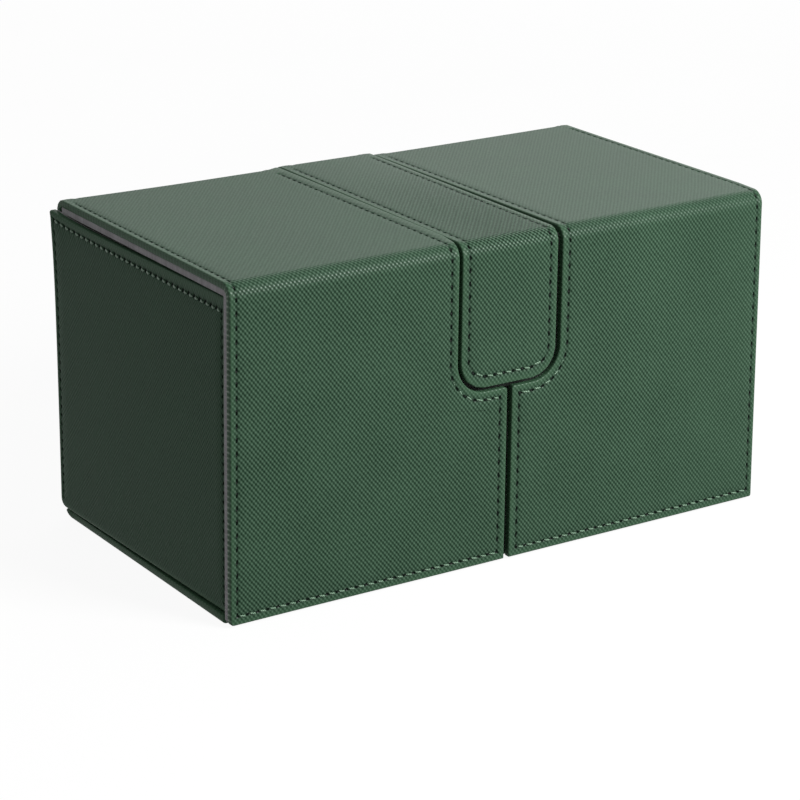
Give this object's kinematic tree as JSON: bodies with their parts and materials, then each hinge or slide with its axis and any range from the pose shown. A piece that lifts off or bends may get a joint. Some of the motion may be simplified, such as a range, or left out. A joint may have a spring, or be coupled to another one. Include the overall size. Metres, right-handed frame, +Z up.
{
  "type": "card storage box",
  "caption": "Leather-covered card storage box with two hinged covers, a central strap with a tab, lined card wells and a shallow drawer at each end.",
  "frame": {"origin": "on the surface the box stands on, below the middle of its bounding box", "axes": "+X along the box to its right end, +Y from the front flaps to the back panel, +Z up"},
  "size_m": [0.196, 0.1058, 0.1035],
  "materials": {
    "green_leather": "embossed dark green leatherette with stitched edges, semi-matt",
    "grey_lining": "grey microfibre",
    "dark_board": "board wrapped in smooth dark leatherette",
    "steel_plate": "thin steel plate",
    "magnet": "nickel-plated disc"
  },
  "bodies": {
    "case": {"base_panel": "green_leather", "back_panel": "green_leather", "front_wall": "dark_board", "back_wall": "dark_board", "centre_divider": "dark_board", "left_catch_plate": "steel_plate", "right_catch_plate": "steel_plate", "tab_catch_plate": "steel_plate", "left_shelf": "dark_board", "left_end_wall": "dark_board", "left_well_lining": "grey_lining", "left_drawer_catch": "steel_plate", "right_shelf": "dark_board", "right_end_wall": "dark_board", "right_well_lining": "grey_lining", "right_drawer_catch": "steel_plate"},
    "left_lid": {"left_lid_panel": "green_leather", "left_lid_lining": "grey_lining", "left_lid_front_bend": "green_leather", "left_lid_back_hinge": "green_leather"},
    "right_lid": {"right_lid_panel": "green_leather", "right_lid_lining": "grey_lining", "right_lid_front_bend": "green_leather", "right_lid_back_hinge": "green_leather"},
    "strap": {"strap_panel": "green_leather", "strap_lining": "grey_lining", "strap_front_bend": "green_leather", "strap_back_hinge": "green_leather"},
    "left_flap": {"left_flap_panel": "green_leather", "left_flap_lining": "grey_lining", "left_flap_magnet_1": "magnet", "left_flap_magnet_2": "magnet"},
    "right_flap": {"right_flap_panel": "green_leather", "right_flap_lining": "grey_lining", "right_flap_magnet_1": "magnet", "right_flap_magnet_2": "magnet"},
    "tab": {"tab_panel": "green_leather", "tab_lining": "grey_lining", "tab_magnet": "magnet"},
    "left_drawer": {"left_drawer_face": "green_leather", "left_drawer_face_lining": "grey_lining", "left_drawer_magnet": "magnet", "left_drawer_floor": "dark_board", "left_drawer_front_wall": "dark_board", "left_drawer_back_wall": "dark_board", "left_drawer_inner_wall": "dark_board", "left_drawer_outer_wall": "dark_board", "left_drawer_lining": "grey_lining"},
    "right_drawer": {"right_drawer_face": "green_leather", "right_drawer_face_lining": "grey_lining", "right_drawer_magnet": "magnet", "right_drawer_floor": "dark_board", "right_drawer_front_wall": "dark_board", "right_drawer_back_wall": "dark_board", "right_drawer_inner_wall": "dark_board", "right_drawer_outer_wall": "dark_board", "right_drawer_lining": "grey_lining"}
  },
  "joints": [
    {"name": "left_lid_hinge", "type": "hinge", "parent": "case", "child": "left_lid", "pos_m": [0, 0.05312, 0.0975], "axis": [-1, 0, 0], "range_deg": [0, 175]},
    {"name": "right_lid_hinge", "type": "hinge", "parent": "case", "child": "right_lid", "pos_m": [0, 0.05312, 0.0975], "axis": [-1, 0, 0], "range_deg": [0, 175]},
    {"name": "strap_hinge", "type": "hinge", "parent": "case", "child": "strap", "pos_m": [0, 0.05312, 0.0975], "axis": [-1, 0, 0], "range_deg": [0, 175]},
    {"name": "left_flap_hinge", "type": "hinge", "parent": "left_lid", "child": "left_flap", "pos_m": [0, -0.051, 0.10162], "axis": [-1, 0, 0], "range_deg": [0, 180]},
    {"name": "right_flap_hinge", "type": "hinge", "parent": "right_lid", "child": "right_flap", "pos_m": [0, -0.051, 0.10162], "axis": [-1, 0, 0], "range_deg": [0, 180]},
    {"name": "tab_hinge", "type": "hinge", "parent": "strap", "child": "tab", "pos_m": [0, -0.051, 0.10162], "axis": [-1, 0, 0], "range_deg": [0, 180]},
    {"name": "left_drawer_slide", "type": "slide", "parent": "case", "child": "left_drawer", "axis": [-1, 0, 0], "range_m": [0, 0.065]},
    {"name": "right_drawer_slide", "type": "slide", "parent": "case", "child": "right_drawer", "axis": [1, 0, 0], "range_m": [0, 0.065]}
  ]
}
